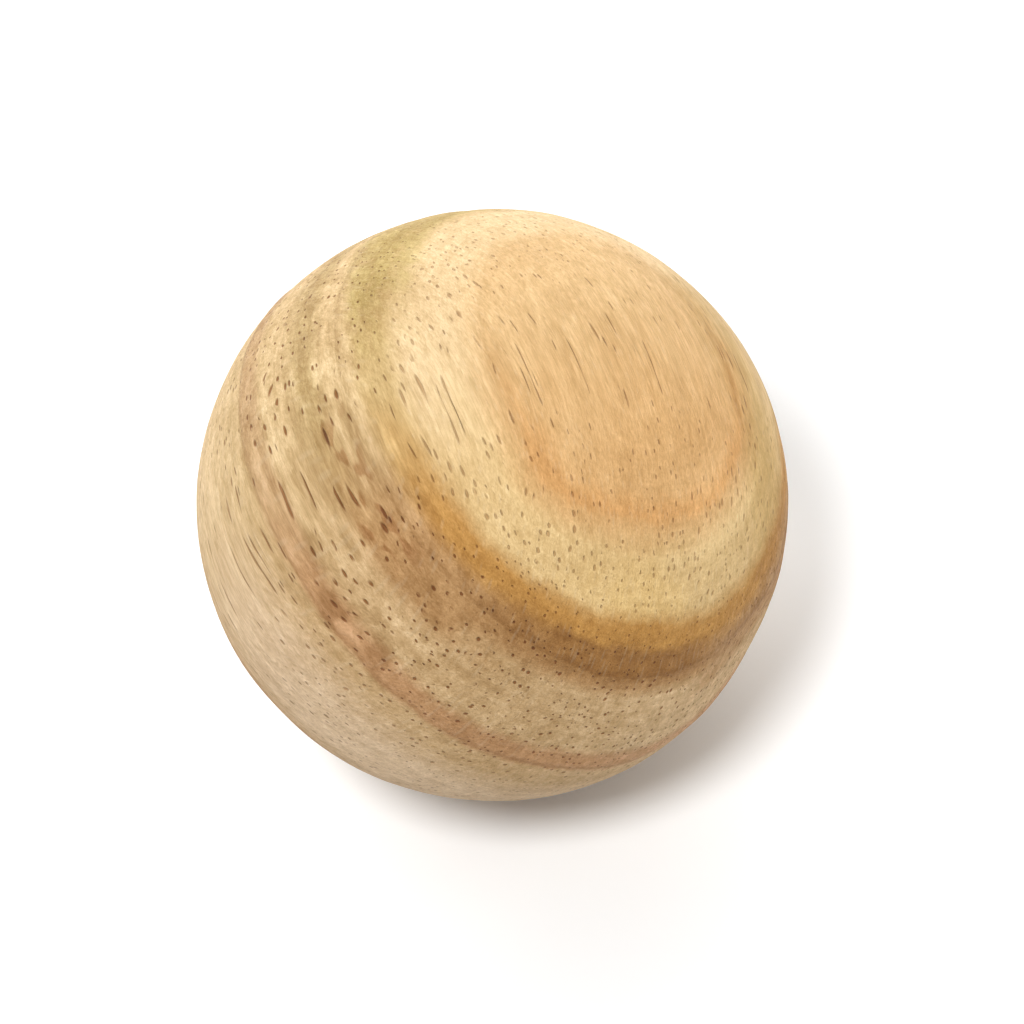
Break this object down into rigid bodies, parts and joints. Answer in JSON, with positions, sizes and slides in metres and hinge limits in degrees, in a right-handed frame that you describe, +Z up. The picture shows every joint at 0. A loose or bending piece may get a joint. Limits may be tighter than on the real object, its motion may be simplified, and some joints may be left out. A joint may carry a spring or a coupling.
{
  "type": "wooden ball",
  "caption": "Plain turned wooden ball in raw, unfinished wood, with bold curved growth bands and slightly flatter end-grain poles.",
  "frame": {"origin": "centre of the ball", "axes": "+Y along the lathe axis and the grain, from one end-grain pole to the other; +Z up as the ball lies; +X across the grain"},
  "size_m": [0.02, 0.0198, 0.02],
  "materials": {
    "wood": "raw sanded wood, matte, open-pored, tan with brown growth bands"
  },
  "bodies": {
    "root": {"ball": "wood"}
  },
  "joints": []
}
